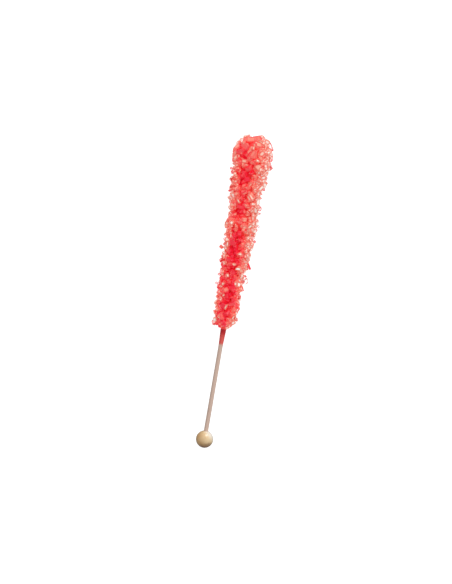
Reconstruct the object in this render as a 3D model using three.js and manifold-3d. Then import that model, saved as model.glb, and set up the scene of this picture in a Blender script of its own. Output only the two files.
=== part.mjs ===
// Rock candy on a wooden swizzle stick, lying on its side.
//
// A turned wooden ball is the grip. A thin wooden dowel is glued into it and runs up into the
// candy, which is one fused mass of sugar crystals grown round the dowel: narrow at its foot,
// widest near its rounded head, and rough all over with crystals that stand out of it.
//
// Units are millimetres. The dowel's own frame has the ball's centre at the origin, the dowel
// along +Y towards the candy, and +Z up. The stick lies with that frame tipped by lyingAngle, so
// that the ball and the candy's fat end both touch the ground at z = 0. The exported group has its
// origin at the bottom centre of the whole stick's bounding box.

import * as THREE from "three";
import { mergeVertices } from "three/addons/utils/BufferGeometryUtils.js";
import Module from "manifold-3d";

const wasm = await Module();
wasm.setup();

// ---- Driving dimensions ----

const BALL_DIAMETER = 9;
const BALL_FLAT_DEPTH = 0.12; // how much of the ball is flat where it stands on the ground
const BALL_SEGMENTS = 36;

const DOWEL_DIAMETER = 2.3;
const DOWEL_SEGMENTS = 24;
const SOCKET_DEPTH = 3.4; // of the dowel in the ball
const SOCKET_CLEARANCE = 0.15;
const DOWEL_END = 148; // from the ball's centre to the dowel's end inside the candy
const DOWEL_CLEARANCE = 0.3; // round the dowel inside the candy

const CANDY_START = 57.4; // stations along the dowel, from the ball's centre
const CANDY_TIP = 160.5;
const HEAD_REST_DEPTH = 0.55; // how much of the candy's fat end is flat where it lies

// How far the crystals reach from the dowel's axis to the left (-X) and to the right (+X), at
// stations along the candy. Its foot and its head are rounded off beyond the first and the last.
const REACH = [
  { station: 63, left: 6.5, right: 6.2 },
  { station: 70, left: 7.0, right: 6.8 },
  { station: 77, left: 7.8, right: 6.8 },
  { station: 83, left: 7.8, right: 7.1 },
  { station: 88, left: 7.0, right: 7.0 },
  { station: 94, left: 8.6, right: 7.9 },
  { station: 98, left: 7.9, right: 7.8 },
  { station: 103, left: 7.8, right: 8.9 },
  { station: 107, left: 8.2, right: 8.1 },
  { station: 113, left: 8.8, right: 9.7 },
  { station: 118, left: 8.0, right: 8.3 },
  { station: 122, left: 8.7, right: 9.1 },
  { station: 127, left: 9.8, right: 7.8 },
  { station: 135, left: 10.3, right: 9.3 },
  { station: 142, left: 10.2, right: 10.6 },
  { station: 149, left: 11.2, right: 10.5 },
];

const CORE_DEPTH = 1.5; // the fused core lies this far inside the crystals' reach
const CORE_WALL = 1; // the least thickness of the core round the dowel
const CORE_GAP = 0.1; // between the candy's foot and the core's own point
const CORE_POINT = 0.3; // how far the core's two ends taper to a point
const CORE_RINGS = 15;
const CORE_CROWDING = 0.06; // how much closer the rings stand at both ends
const CORE_SIDES = 12;
const CORE_BUMP = 0.35; // how much the core's own surface rises and falls

const CRYSTAL_COUNT = 300;
const CRYSTAL_SIZE = [[3.0, 4.9], [2.1, 3.0], [1.6, 2.4]]; // length, width and thickness
const CRYSTAL_SLANT = [-0.45, 0.45]; // of its ends, as a share of its width
const CRYSTAL_LIFT = [0.05, 1.5]; // 0 lies flat on the candy, larger stands up from it
const HEAD_LIFT = 0.3; // the crystals on the head lie flatter, by this much of their lift
const CRYSTAL_SPREAD = 0.55; // a crystal's outer corner may pass or miss the reach by this
const CRYSTAL_STRAYING = [-0.25, 0.25]; // of its direction round the dowel, in radians
const SEED = 11;

// Single crystals that stand out of the outline. Station and reach are those of their middles,
// and around is the direction round the dowel in degrees, with 0 to the right.
const STRAYS = [
  { station: 99.8, reach: 8.3, around: 178, size: [2.2, 1.5, 1.4], lift: 1.6 }, // a knob
  { station: 92.2, reach: 7.6, around: 4, size: [3.4, 0.9, 0.9], lift: -0.6 }, // a needle
  { station: 84.2, reach: 7.0, around: 2, size: [3.6, 2.4, 2.0], lift: 1.2 },
  { station: 60.9, reach: 5.2, around: 172, size: [3.2, 2.6, 2.2], lift: 0.5 },
  { station: 144.0, reach: 9.6, around: 6, size: [2.6, 1.8, 1.6], lift: 1.0 },
];
const STRAY_ROLL = 0.4;

// Each random choice about a crystal has its own draw. Its size takes the three draws from size on.
const DRAW = { around: 1, size: 2, heading: 5, lift: 6, roll: 7, spread: 8, nearSlant: 21, farSlant: 22 };
const CORE_DRAW = 40;

const STATION_STEPS = 400; // for spreading the crystals evenly
const SLOPE_STEP = 0.6; // along the dowel, for the slope of the outline
const MERGE_DISTANCE = 1e-4; // corners nearer than this are one
const GROUND_BLOCK = 400; // a block wider than the stick is long
const OVERRUN = 5; // how far a cutting tool passes the surface that it cuts

// ---- Sizes worked out from them ----

const ballRadius = BALL_DIAMETER / 2;
const dowelRadius = DOWEL_DIAMETER / 2;
const ballHeight = ballRadius - BALL_FLAT_DEPTH;
const foot = REACH[0];
const head = REACH[REACH.length - 1];
const footLength = foot.station - CANDY_START;
const headLength = CANDY_TIP - head.station;
const headHeight = (head.left + head.right) / 2 - HEAD_REST_DEPTH;
const lyingAngle = Math.atan2(headHeight - ballHeight, head.station);

// ---- Small helpers ----

const mix = (low, high, share) => low + (high - low) * share;

// A number from 0 to 1 that looks random, and is the same each time for the same two numbers.
function scatter(index, draw) {
  const value = Math.sin((index + SEED) * 12.9898 + draw * 78.233) * 43758.5453;
  return value - Math.floor(value);
}

const drawn = ([low, high], index, draw) => mix(low, high, scatter(index, draw));

// Turns a closed three.js geometry into a solid that can be joined and cut.
function toSolid(geometry) {
  const bare = new THREE.BufferGeometry().setAttribute("position", geometry.getAttribute("position"));
  if (geometry.index) bare.setIndex(geometry.index);
  const merged = mergeVertices(bare, MERGE_DISTANCE);
  return new wasm.Manifold(
    new wasm.Mesh({
      numProp: 3,
      vertProperties: new Float32Array(merged.attributes.position.array),
      triVerts: new Uint32Array(merged.index.array),
    }),
  );
}

function toGeometry(solid) {
  const { vertProperties, triVerts } = solid.getMesh();
  const geometry = new THREE.BufferGeometry()
    .setAttribute("position", new THREE.BufferAttribute(new Float32Array(vertProperties), 3))
    .setIndex(new THREE.BufferAttribute(new Uint32Array(triVerts), 1));
  geometry.computeVertexNormals();
  return geometry;
}

// Drops loose scraps and fills sealed hollows: only the outer skin of the biggest body is kept.
function biggestBody(solid) {
  return solid.decompose().reduce((best, body) => (body.volume() > best.volume() ? body : best));
}

// A rod along the dowel's axis between two stations.
function rod(radius, from, to) {
  const geometry = new THREE.CylinderGeometry(radius, radius, to - from, DOWEL_SEGMENTS);
  return geometry.translate(0, (from + to) / 2, 0);
}

// A block that holds everything below the ground, in the dowel's own frame.
function belowGround() {
  const block = new THREE.BoxGeometry(GROUND_BLOCK, GROUND_BLOCK, GROUND_BLOCK);
  block.translate(0, 0, -GROUND_BLOCK / 2 - ballHeight);
  return toSolid(block.rotateX(-lyingAngle));
}

// ---- The candy's outline ----

// How far the crystals reach at a station, in a direction round the dowel: 0 is +X, 90 degrees +Z.
function reachAt(station, around) {
  const bounded = Math.min(Math.max(station, foot.station), head.station);
  const next = REACH.findIndex((row, i) => i > 0 && bounded <= row.station);
  const [a, b] = [REACH[next - 1], REACH[next]];
  const share = (bounded - a.station) / (b.station - a.station);
  const left = mix(a.left, b.left, share);
  const right = mix(a.right, b.right, share);
  const body = (left + right) / 2 + ((right - left) / 2) * Math.cos(around);
  const beyondFoot = Math.max(0, foot.station - station) / footLength;
  const beyondHead = Math.max(0, station - head.station) / headLength;
  return body * Math.sqrt(Math.max(0, 1 - Math.max(beyondFoot, beyondHead) ** 2));
}

const pointAt = (station, around, radius) =>
  new THREE.Vector3(radius * Math.cos(around), station, radius * Math.sin(around));

// ---- The pieces ----

function ballSolid() {
  const sphere = new THREE.SphereGeometry(ballRadius, BALL_SEGMENTS, BALL_SEGMENTS / 2);
  const socket = rod(dowelRadius + SOCKET_CLEARANCE, ballRadius - SOCKET_DEPTH, ballRadius + OVERRUN);
  return toSolid(sphere).subtract(toSolid(socket)).subtract(belowGround());
}

function dowelSolid() {
  return toSolid(rod(dowelRadius, ballRadius - SOCKET_DEPTH + SOCKET_CLEARANCE, DOWEL_END));
}

// The fused core: rings round the dowel just inside the crystals' reach, closed at both ends.
function candyCore() {
  const positions = [];
  const index = [];
  const start = CANDY_START + CORE_GAP;
  const end = CANDY_TIP - CORE_DEPTH;
  positions.push(0, start, 0);
  for (let ring = 0; ring < CORE_RINGS; ring++) {
    const share = ring / (CORE_RINGS - 1);
    const eased = share - Math.sin(2 * Math.PI * share) * CORE_CROWDING;
    const station = mix(start + CORE_POINT, end - CORE_POINT, eased);
    for (let side = 0; side < CORE_SIDES; side++) {
      const around = ((side + (ring % 2) / 2) / CORE_SIDES) * 2 * Math.PI;
      const bump = CORE_BUMP * (scatter(ring * CORE_SIDES + side, CORE_DRAW) * 2 - 1);
      const radius = Math.max(dowelRadius + CORE_WALL, reachAt(station, around) - CORE_DEPTH + bump);
      positions.push(...pointAt(station, around, radius).toArray());
    }
  }
  positions.push(0, end, 0);
  const last = positions.length / 3 - 1;
  const at = (ring, side) => 1 + ring * CORE_SIDES + (side % CORE_SIDES);
  for (let side = 0; side < CORE_SIDES; side++) {
    index.push(0, at(0, side), at(0, side + 1));
    index.push(last, at(CORE_RINGS - 1, side + 1), at(CORE_RINGS - 1, side));
    for (let ring = 0; ring < CORE_RINGS - 1; ring++) {
      const shift = ring % 2; // every other ring is turned by half a side
      const [a, b] = [at(ring, side), at(ring, side + 1)];
      const [c, d] = [at(ring + 1, side + shift), at(ring + 1, side + shift + 1)];
      if (shift) index.push(a, c, b, b, c, d);
      else index.push(a, c, d, a, d, b);
    }
  }
  const geometry = new THREE.BufferGeometry()
    .setAttribute("position", new THREE.Float32BufferAttribute(positions, 3))
    .setIndex(index);
  return toSolid(geometry);
}

// A sugar crystal about its own centre: a slab along X whose two ends are cut on a slant.
function crystalGeometry([length, width, thickness], index) {
  const [x, y] = [length / 2, width / 2];
  const nearSlant = width * drawn(CRYSTAL_SLANT, index, DRAW.nearSlant);
  const farSlant = width * drawn(CRYSTAL_SLANT, index, DRAW.farSlant);
  const outline = new THREE.Shape([
    new THREE.Vector2(-x + Math.max(0, nearSlant), -y),
    new THREE.Vector2(x - Math.max(0, farSlant), -y),
    new THREE.Vector2(x + Math.min(0, farSlant), y),
    new THREE.Vector2(-x - Math.min(0, nearSlant), y),
  ]);
  const slab = new THREE.ExtrudeGeometry(outline, { depth: thickness, bevelEnabled: false });
  return slab.translate(0, 0, -thickness / 2);
}

// Half of what a crystal measures along a direction, once it is turned.
function halfExtent([length, width, thickness], turn, direction) {
  const own = direction.clone().applyQuaternion(turn.clone().invert());
  return (Math.abs(own.x) * length + Math.abs(own.y) * width + Math.abs(own.z) * thickness) / 2;
}

// The turn that stands a crystal on the candy: heading is the way it leans along the surface.
function crystalTurn(outward, lift, heading, roll) {
  const along = new THREE.Vector3(0, 1, 0);
  const across = new THREE.Vector3().crossVectors(along, outward).normalize();
  const upwards = new THREE.Vector3().crossVectors(outward, across);
  const axis = outward.clone().multiplyScalar(lift);
  axis.addScaledVector(across, Math.cos(heading)).addScaledVector(upwards, Math.sin(heading)).normalize();
  const stand = new THREE.Quaternion().setFromUnitVectors(new THREE.Vector3(1, 0, 0), axis);
  const rolled = new THREE.Quaternion().setFromAxisAngle(new THREE.Vector3(1, 0, 0), roll);
  return stand.multiply(rolled);
}

// The surface's outward direction, found from how the reach changes along the candy.
function outwardAt(station, around) {
  const rise = reachAt(station + SLOPE_STEP, around) - reachAt(station - SLOPE_STEP, around);
  const slope = rise / (2 * SLOPE_STEP);
  return new THREE.Vector3(Math.cos(around), -slope, Math.sin(around)).normalize();
}

function placedCrystal(size, index, middle, turn) {
  const place = new THREE.Matrix4().compose(middle, turn, new THREE.Vector3(1, 1, 1));
  return toSolid(crystalGeometry(size, index).applyMatrix4(place));
}

// Stations that spread the crystals evenly over the candy's surface, fat end and thin end alike.
function evenStations(count) {
  const sums = [0];
  for (let i = 1; i <= STATION_STEPS; i++) {
    const station = mix(CANDY_START, CANDY_TIP, (i - 0.5) / STATION_STEPS);
    sums.push(sums[i - 1] + reachAt(station, Math.PI / 2) + 1);
  }
  return Array.from({ length: count }, (_, i) => {
    const wanted = ((i + 0.5) / count) * sums[STATION_STEPS];
    const step = sums.findIndex((sum) => sum >= wanted);
    const share = (wanted - sums[step - 1]) / (sums[step] - sums[step - 1]);
    return mix(CANDY_START, CANDY_TIP, (step - 1 + share) / STATION_STEPS);
  });
}

function scatteredCrystals() {
  const goldenAngle = Math.PI * (3 - Math.sqrt(5));
  return evenStations(CRYSTAL_COUNT).map((station, i) => {
    const around = i * goldenAngle + drawn(CRYSTAL_STRAYING, i, DRAW.around);
    const size = CRYSTAL_SIZE.map((range, k) => drawn(range, i, DRAW.size + k));
    const outward = outwardAt(station, around);
    const heading = drawn([0, 2 * Math.PI], i, DRAW.heading);
    const lift = drawn(CRYSTAL_LIFT, i, DRAW.lift) * (station > head.station ? HEAD_LIFT : 1);
    const turn = crystalTurn(outward, lift, heading, drawn([0, Math.PI], i, DRAW.roll));
    const surface = pointAt(station, around, reachAt(station, around));
    const inset = halfExtent(size, turn, outward) - CRYSTAL_SPREAD * (scatter(i, DRAW.spread) * 2 - 1);
    return placedCrystal(size, i, surface.addScaledVector(outward, -inset), turn);
  });
}

function strayCrystals() {
  return STRAYS.map(({ station, reach, around, size, lift }, k) => {
    const angle = THREE.MathUtils.degToRad(around);
    const outward = new THREE.Vector3(Math.cos(angle), 0, Math.sin(angle));
    const turn = crystalTurn(outward, lift, Math.PI / 2, STRAY_ROLL);
    return placedCrystal(size, CRYSTAL_COUNT + k, pointAt(station, angle, reach), turn);
  });
}

function candySolid() {
  const grown = wasm.Manifold.union([candyCore(), ...scatteredCrystals(), ...strayCrystals()]);
  const channelEnd = DOWEL_END + DOWEL_CLEARANCE;
  const channel = rod(dowelRadius + DOWEL_CLEARANCE, CANDY_START - OVERRUN, channelEnd);
  const fused = biggestBody(grown).subtract(toSolid(channel)).subtract(belowGround());
  return biggestBody(fused);
}

// ---- The scene graph ----

const finish = (color, roughness) => new THREE.MeshStandardMaterial({ color, roughness, metalness: 0 });
const ballWood = finish("#dcc08c", 0.35);
const dowelWood = finish("#cdb29f", 0.7);
const redSugar = finish("#f0343a", 0.15);

function piece(name, solid, material) {
  const mesh = new THREE.Mesh(toGeometry(solid), material);
  mesh.name = name;
  return mesh;
}

const rockCandyStick = new THREE.Group();
const lying = new THREE.Group();
lying.rotation.x = lyingAngle;
lying.add(
  piece("ball", ballSolid(), ballWood),
  piece("dowel", dowelSolid(), dowelWood),
  piece("candy", candySolid(), redSugar),
);
rockCandyStick.add(lying);

// Stands the ball on the ground, then centres the whole over the origin.
lying.position.z = ballHeight;
rockCandyStick.updateMatrixWorld(true);
const bounds = new THREE.Box3().setFromObject(rockCandyStick, true);
const centre = bounds.getCenter(new THREE.Vector3());
lying.position.x -= centre.x;
lying.position.y -= centre.y;

export default rockCandyStick;
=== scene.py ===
"""Rock candy on a wooden swizzle stick, lying on a pale floor in soft studio light.

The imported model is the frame. Pieces are worked out in millimetres in the dowel's own frame: the
origin is the ball's centre, +Y runs along the dowel to the candy and +Z is up. Each is then laid
into the model's frame, in metres, where the ball and the candy's fat end rest on the floor.
"""

import math
from enum import IntEnum
from typing import NamedTuple

import bpy
import numpy as np
from bpy.props import FloatProperty, FloatVectorProperty, IntProperty, PointerProperty
from mathutils import Matrix, Quaternion, Vector, noise


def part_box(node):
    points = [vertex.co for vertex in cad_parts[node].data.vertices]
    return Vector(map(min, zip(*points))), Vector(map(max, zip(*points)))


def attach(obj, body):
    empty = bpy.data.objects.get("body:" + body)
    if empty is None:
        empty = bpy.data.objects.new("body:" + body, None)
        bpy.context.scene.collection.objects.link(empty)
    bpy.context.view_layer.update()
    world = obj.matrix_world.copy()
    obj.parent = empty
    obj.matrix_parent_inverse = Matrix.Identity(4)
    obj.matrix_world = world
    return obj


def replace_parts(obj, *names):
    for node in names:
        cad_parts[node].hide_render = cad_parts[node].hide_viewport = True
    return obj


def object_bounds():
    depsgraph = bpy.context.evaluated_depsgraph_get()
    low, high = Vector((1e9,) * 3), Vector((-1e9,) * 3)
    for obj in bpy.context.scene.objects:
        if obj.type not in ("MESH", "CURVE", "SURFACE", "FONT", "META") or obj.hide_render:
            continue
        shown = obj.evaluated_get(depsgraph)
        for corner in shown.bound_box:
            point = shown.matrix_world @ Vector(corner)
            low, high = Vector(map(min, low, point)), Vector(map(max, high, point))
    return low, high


bl_info = {
    "name": "Rock Candy Stick",
    "version": (1, 0, 0),
    "blender": (4, 5, 0),
    "location": "View3D > Sidebar > Rock Candy",
    "description": "Builds a rock candy stick round its packed model, with a studio stage",
    "category": "Add Mesh",
}

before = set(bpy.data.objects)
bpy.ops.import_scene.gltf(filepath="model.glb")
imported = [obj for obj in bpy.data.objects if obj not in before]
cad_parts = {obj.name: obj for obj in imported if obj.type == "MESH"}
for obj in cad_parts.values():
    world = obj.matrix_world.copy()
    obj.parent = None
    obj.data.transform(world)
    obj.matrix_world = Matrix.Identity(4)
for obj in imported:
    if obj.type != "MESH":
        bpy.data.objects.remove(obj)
model_low, model_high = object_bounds()

MM = 0.001
FLOOR_GAP = 0.02 * MM  # the sugar is kept this far off the floor's surface

# ---- The stick's own frame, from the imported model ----

ball_low, ball_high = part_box("ball")
dowel_low, dowel_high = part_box("dowel")
BALL_RADIUS = (ball_high.x - ball_low.x) / 2 / MM
BALL_CENTRE = Vector((
    (ball_low.x + ball_high.x) / 2,
    ball_low.y + BALL_RADIUS * MM,
    ball_high.z - BALL_RADIUS * MM,
))
DOWEL_RADIUS = (dowel_high.x - dowel_low.x) / 2 / MM
LYING_ANGLE = math.atan2(
    dowel_high.z - dowel_low.z - 2 * DOWEL_RADIUS * MM, dowel_high.y - dowel_low.y
)

# ---- Sizes in millimetres: stations run along the dowel from the ball's centre ----

DOWEL_START = 1.25  # inside the ball
DOWEL_END = 148.0  # inside the candy
SOCKET_START = 1.1  # the bottom of the ball's hole
STAIN_START = 49.6  # where the red colour on the dowel begins
CANDY_START = 57.4
CANDY_TIP = 160.5


class Reach(NamedTuple):
    """How far the crystals reach from the dowel's axis to the left (-X) and right (+X)."""

    station: float
    left: float
    right: float


REACH = (
    Reach(63, 6.5, 6.2),
    Reach(70, 7.0, 6.8),
    Reach(77, 7.8, 6.8),
    Reach(83, 7.8, 7.1),
    Reach(88, 7.0, 7.0),
    Reach(94, 8.6, 7.9),
    Reach(98, 7.9, 7.8),
    Reach(103, 7.8, 8.9),
    Reach(107, 8.2, 8.1),
    Reach(113, 8.8, 9.7),
    Reach(118, 8.0, 8.3),
    Reach(122, 8.7, 9.1),
    Reach(127, 9.8, 7.8),
    Reach(135, 10.3, 9.3),
    Reach(142, 10.2, 10.6),
    Reach(149, 11.2, 10.5),
)
FOOT, HEAD = REACH[0], REACH[-1]
FOOT_LENGTH = FOOT.station - CANDY_START
HEAD_LENGTH = CANDY_TIP - HEAD.station


class Kind(NamedTuple):
    """A kind of crystal that is scattered over the candy. Lengths are in millimetres."""

    seed: int
    length: tuple
    width: tuple
    thickness: tuple
    lift: tuple  # 0 lies flat on the candy, larger stands up from it
    depth: float  # of the crystals' outer ends below the reach
    spread: float  # how far a crystal may pass or miss that depth
    clear: tuple  # the share of clear crystals, amid the candy and at its sides
    head_larger: float  # how much larger they are on the head, as a share


LARGE = Kind(
    seed=11,
    length=(3.0, 4.9),
    width=(2.1, 3.0),
    thickness=(1.6, 2.4),
    lift=(0.05, 1.5),
    depth=0.0,
    spread=0.55,
    clear=(0.0, 0.9),
    head_larger=0.2,
)
INNER = Kind(
    seed=23,
    length=(2.2, 3.7),
    width=(1.7, 2.6),
    thickness=(1.3, 2.0),
    lift=(0.1, 1.6),
    depth=1.0,
    spread=0.6,
    clear=(0.0, 0.35),
    head_larger=0.2,
)
SMALL = Kind(
    seed=37,
    length=(1.2, 2.4),
    width=(0.9, 1.6),
    thickness=(0.7, 1.3),
    lift=(0.1, 1.5),
    depth=0.5,
    spread=1.4,
    clear=(0.0, 0.9),
    head_larger=0.0,
)
HEAD_FROM = 140  # the station from which crystals grow larger, and the finer ones sink in
HEAD_SUNK = 0.5  # how much deeper those lie on the head, as a share of their depth
STRAYING = (-0.25, 0.25)  # of a crystal from its even place round the dowel, in radians
WHOLE_TURN = (0, 2 * math.pi)
HALF_TURN = (0, math.pi)
EITHER_WAY = (-1, 1)

# Where the left side of the head is smooth, with crystals that lie flat, and none of them clear.
SMOOTH_STATIONS = (142.0, 146.0)  # where it begins, and where it is fully smooth
SMOOTH_LEFT = (0.2, 0.825)  # the same round the dowel, by the cosine of the angle from its left


class Stray(NamedTuple):
    """A single crystal that stands out of the outline, by its middle."""

    station: float
    reach: float
    around: float  # the direction round the dowel, in degrees
    size: tuple
    lift: float
    tone: float  # a clear one's edges are fainter from FAINT_TONES on
    clear: bool


STRAYS = (
    Stray(99.8, 8.3, 178, (2.2, 1.5, 1.4), 1.6, 0.5, False),  # a knob
    Stray(92.2, 7.6, 4, (3.4, 0.9, 0.9), -0.6, 0.2, False),  # a needle
    Stray(84.2, 7.0, 2, (3.6, 2.4, 2.0), 1.2, 2.0, True),
    Stray(60.9, 5.2, 172, (3.2, 2.6, 2.2), 0.5, 2.0, True),
    Stray(144.0, 9.6, 6, (2.6, 1.8, 1.6), 1.0, 1.5, True),
)
STRAY_HEADING = math.pi / 2  # towards the candy's head
STRAY_ROLL = 0.4

# Small crystals on the upper side, painted pale as glints: station, and distance to the right.
GLINTS = (
    (65.0, 4.1), (70.0, -0.7), (75.7, -3.0), (81.5, -4.3), (86.0, -2.7), (87.5, -5.6), (90.2, 2.2),
    (91.9, -5.2), (92.2, -0.3), (95.7, -6.0), (97.7, 1.9), (95.1, 4.2), (122.6, 6.9), (124.5, -3.7),
    (143.1, 7.6), (146.2, 2.6), (152.2, -0.6), (154.3, -6.2), (156.5, 2.9),
)
GLINT_SEED = 53
GLINT_SIZE = (2.6, 1.4, 1.0)
GLINT_SCALE = (0.6, 1.25)  # of each side of that size
GLINT_DEPTH = 0.35  # of their middles below the reach
GLINT_LIFT = 0.2
PAINTED_GLINT_TONES = (0.6, 0.95)


# ---- Small helpers ----

INDEX_PHASE, DRAW_PHASE, WAVE_SCALE = 12.9898, 78.233, 43758.5453  # of the sine that scatters
WHITE, BLACK = (1.0, 1.0, 1.0), (0.0, 0.0, 0.0)


class Draw(IntEnum):
    """What a crystal's random numbers are for. Where one takes several, the next ones follow it."""

    AROUND = 1
    SIZE = 2
    HEADING = 5
    LIFT = 6
    ROLL = 7
    SPREAD = 8
    NEAR_SLANT = 21
    FAR_SLANT = 22
    CORNER_CUT = 23
    EDGE_CUT = 27
    TONE = 30
    CLEAR = 31
    FACET_TONE = 40
    GLINT_SIZE = 50
    GLINT_TONE = 53


def mix(low, high, share):
    """The number that lies a share of the way from low to high."""
    return low + (high - low) * share


def progress(value, start, end):
    """How far a number is on the way from start to end, kept from 0 to 1."""
    return min(max((value - start) / (end - start), 0), 1)


def scatter(seed, index, draw):
    """A number from 0 to 1 that looks random, and is the same for the same three numbers."""
    value = math.sin((index + seed) * INDEX_PHASE + draw * DRAW_PHASE) * WAVE_SCALE
    return value - math.floor(value)


def drawn(limits, seed, index, draw):
    """A number between two limits, by scatter."""
    return mix(*limits, scatter(seed, index, draw))


def linear(red, green, blue):
    """A shader colour from the 0 to 255 numbers that a screen shows, by the sRGB curve."""
    shown = [part / 255 for part in (red, green, blue)]
    return tuple(p / 12.92 if p <= 0.04045 else ((p + 0.055) / 1.055) ** 2.4 for p in shown)


def rgba(colour):
    """A colour as a shader socket takes it."""
    return (*colour, 1.0)


# ---- The candy's outline ----

ALONG = Vector((0, 1, 0))  # the dowel's direction
SLOPE_STEP = 0.6  # either way, to find how the outline slopes
STATION_STEPS = 400  # in which the candy's length is measured out
TIP_SHARE = 1.0  # added to the reach when it is summed up, so that both tips get crystals too


def reach_at(station, around):
    """How far the crystals reach at a station, in a direction round the dowel: 0 is +X."""
    bounded = min(max(station, FOOT.station), HEAD.station)
    after = next(i for i, row in enumerate(REACH) if i and bounded <= row.station)
    near, far = REACH[after - 1], REACH[after]
    share = (bounded - near.station) / (far.station - near.station)
    left = mix(near.left, far.left, share)
    right = mix(near.right, far.right, share)
    body = (left + right) / 2 + (right - left) / 2 * math.cos(around)
    beyond_foot = max(0, FOOT.station - station) / FOOT_LENGTH
    beyond_head = max(0, station - HEAD.station) / HEAD_LENGTH
    return body * math.sqrt(max(0, 1 - max(beyond_foot, beyond_head) ** 2))


def point_at(station, around, radius):
    """A point by its station, its direction round the dowel and its distance from the axis."""
    return Vector((radius * math.cos(around), station, radius * math.sin(around)))


def outward_at(station, around):
    """The outline's outward direction, from how the reach changes along the candy."""
    rise = reach_at(station + SLOPE_STEP, around) - reach_at(station - SLOPE_STEP, around)
    slope = rise / (2 * SLOPE_STEP)
    return Vector((math.cos(around), -slope, math.sin(around))).normalized()


def even_stations(count):
    """Stations that spread crystals evenly over the candy, fat end and thin end alike."""
    sums = [0.0]
    for step in range(STATION_STEPS):
        station = mix(CANDY_START, CANDY_TIP, (step + 0.5) / STATION_STEPS)
        sums.append(sums[-1] + reach_at(station, math.pi / 2) + TIP_SHARE)
    wanted = (np.arange(count) + 0.5) / count * sums[-1]
    steps = np.interp(wanted, sums, np.arange(STATION_STEPS + 1))
    return CANDY_START + (CANDY_TIP - CANDY_START) * steps / STATION_STEPS


# ---- Crystal forms ----

SLAB_CORNERS = 4
OUTLINE_CORNERS = 2 * SLAB_CORNERS  # since each corner of the slab is cut
RING_COUNT = 4
LENGTHWISE = Vector((1, 0, 0))  # a crystal's long direction, before it is turned
SLANT = (-0.45, 0.45)  # of a crystal's ends, as a share of its width
CORNER_CUT = (0.06, 0.34)  # off each corner of its outline, as a share of its width
EDGE_CUT = (0.08, 0.22)  # off the rims of its two flat sides, as a share of its thickness
EDGE_WIDTH = 0.8  # how far a facet's redder edge reaches into it


def crystal_facets():
    """The facets of one crystal, each as its faces: the two flat ones, the rims and the sides.

    Its corners come in four rings of eight. A flat facet and a side also have a middle point.
    """
    bottom = RING_COUNT * OUTLINE_CORNERS
    top, first_side = bottom + 1, bottom + 2
    rings = [range(k * OUTLINE_CORNERS, (k + 1) * OUTLINE_CORNERS) for k in range(RING_COUNT)]
    corners = [(corner, (corner + 1) % OUTLINE_CORNERS) for corner in range(OUTLINE_CORNERS)]
    flats = [
        [(bottom, rings[0][beside], rings[0][corner]) for corner, beside in corners],
        [(top, rings[-1][corner], rings[-1][beside]) for corner, beside in corners],
    ]
    rims = [
        [(near[corner], near[beside], far[beside], far[corner])]
        for near, far in (rings[:2], rings[2:])
        for corner, beside in corners
    ]
    sides = []
    for corner, beside in corners:
        around = (rings[1][corner], rings[1][beside], rings[2][beside], rings[2][corner])
        sides.append([(first_side + corner, around[k - 1], around[k]) for k in range(len(around))])
    return flats, rims, sides


FLATS, RIMS, SIDES = crystal_facets()
FACETS = [*FLATS, *RIMS, *SIDES]
IS_RIM = np.array([False] * len(FLATS) + [True] * len(RIMS) + [False] * len(SIDES))
FACET_SIZES = [len(facet) for facet in FACETS]
CRYSTAL_FACES = [face for facet in FACETS for face in facet]


def crystal_points(size, seed, index):
    """A sugar crystal about its own centre: a slab along X with slanted ends and cut edges.

    With each point comes how near it is to an edge: 1 at a corner, and less amid a facet.
    """
    length, width, thickness = size
    x, y, z = length / 2, width / 2, thickness / 2
    near = width * drawn(SLANT, seed, index, Draw.NEAR_SLANT)
    far = width * drawn(SLANT, seed, index, Draw.FAR_SLANT)
    corners = np.array([
        (-x + max(0, near), -y),
        (x - max(0, far), -y),
        (x + min(0, far), y),
        (-x - min(0, near), y),
    ])
    outline = np.empty((OUTLINE_CORNERS, 2))
    for corner in range(SLAB_CORNERS):
        cut = width * drawn(CORNER_CUT, seed, index, Draw.CORNER_CUT + corner)
        for side, other in enumerate((corner - 1, (corner + 1) % SLAB_CORNERS)):
            edge = corners[other] - corners[corner]
            outline[2 * corner + side] = corners[corner] + edge * cut / np.linalg.norm(edge)
    bevel = thickness * drawn(EDGE_CUT, seed, index, Draw.EDGE_CUT)
    inset = outline * (1 - bevel / x, 1 - bevel / y)
    rings = ((inset, -z), (outline, bevel - z), (outline, z - bevel), (inset, z))
    ringed = [np.column_stack((ring, np.full(len(ring), level))) for ring, level in rings]
    beside = np.roll(outline, -1, axis=0)
    side_middles = np.column_stack(((outline + beside) / 2, np.zeros(OUTLINE_CORNERS)))
    points = np.vstack([*ringed, ((0, 0, -z), (0, 0, z)), side_middles])
    side_depths = np.minimum(np.linalg.norm(beside - outline, axis=1), thickness - 2 * bevel) / 2
    depths = [*[0.0] * (RING_COUNT * OUTLINE_CORNERS), *[min(x, y) - bevel] * 2, *side_depths]
    return points, 1 - np.array(depths) / EDGE_WIDTH


def crystal_turn(outward, lift, heading, roll):
    """Stands a crystal on the candy. A heading of 0 leans it round the dowel, and pi/2 along it."""
    across = ALONG.cross(outward).normalized()
    headwards = outward.cross(across)
    axis = outward * lift + across * math.cos(heading) + headwards * math.sin(heading)
    return LENGTHWISE.rotation_difference(axis.normalized()) @ Quaternion(LENGTHWISE, roll)


def half_extent(size, turn, direction):
    """Half of what a crystal measures along a direction, once it is turned."""
    own = turn.inverted() @ direction
    return sum(abs(part) * whole for part, whole in zip(own, size)) / 2


FACET_SPREAD = 0.3  # how much a crystal's facets differ, as a share of its own tone
LEAST_SPREAD = 0.2  # added to that tone, so that a deep red one's facets differ too
RIM_TONE = (-0.45, 0.3)  # what a rim adds to the crystal's tone, from the least to the most
PAINTED_RIM_GLINTS = 0.04  # the share of the rims painted white as glints
PAINTED_RIM_GLINT_TONE = 1.0


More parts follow.
